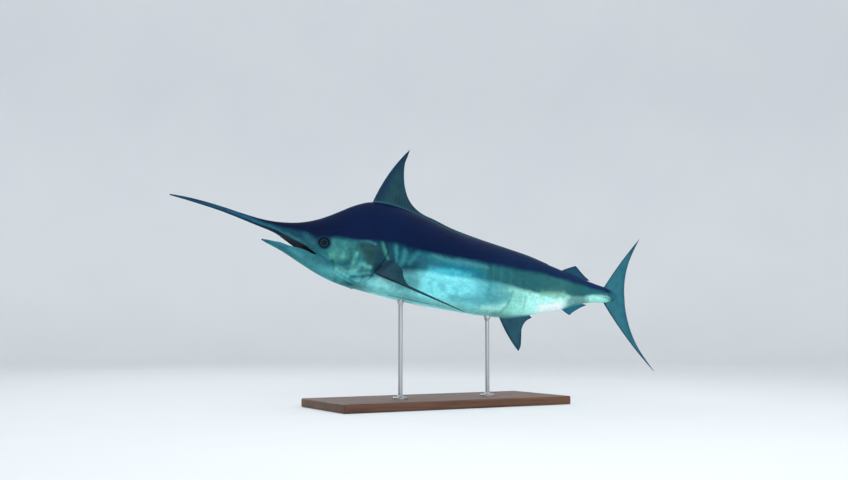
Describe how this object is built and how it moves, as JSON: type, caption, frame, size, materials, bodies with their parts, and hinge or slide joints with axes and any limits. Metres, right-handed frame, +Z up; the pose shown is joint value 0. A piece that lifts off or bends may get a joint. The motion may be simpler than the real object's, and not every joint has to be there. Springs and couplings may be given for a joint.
{
  "type": "blue marlin model",
  "caption": "Life-size still model of a blue marlin swimming with its head up, banked and with its tail swung to the left, held above a flat base by short rods.",
  "frame": {"origin": "middle of the underside of the stand's base", "axes": "+X from the bill towards the tail, +Y to the fish's right, +Z up"},
  "size_m": [3.2165, 0.6792, 1.5334],
  "materials": {
    "skin": "satin",
    "bill": "satin",
    "eyes": "polished",
    "fins": "satin",
    "stand_wood": "satin varnish",
    "stand_steel": "brushed"
  },
  "bodies": {
    "root": {"head": "skin", "lower_jaw": "skin", "gill_cover_left": "skin", "gill_cover_right": "skin", "trunk_front": "skin", "trunk_rear": "skin", "tail_stalk": "skin", "bill": "bill", "eye_left": "eyes", "eye_right": "eyes", "first_dorsal_fin_lobe": "fins", "first_dorsal_fin_rear": "fins", "second_dorsal_fin": "fins", "first_anal_fin": "fins", "second_anal_fin": "fins", "tail_fin_upper": "fins", "tail_fin_lower": "fins", "pectoral_fin_base_left": "fins", "pectoral_fin_base_right": "fins", "pectoral_fin_left": "fins", "pectoral_fin_right": "fins", "pelvic_fin_left": "fins", "pelvic_fin_right": "fins", "stand_base": "stand_wood", "stand_rod_front": "stand_steel", "stand_rod_rear": "stand_steel"}
  },
  "joints": []
}
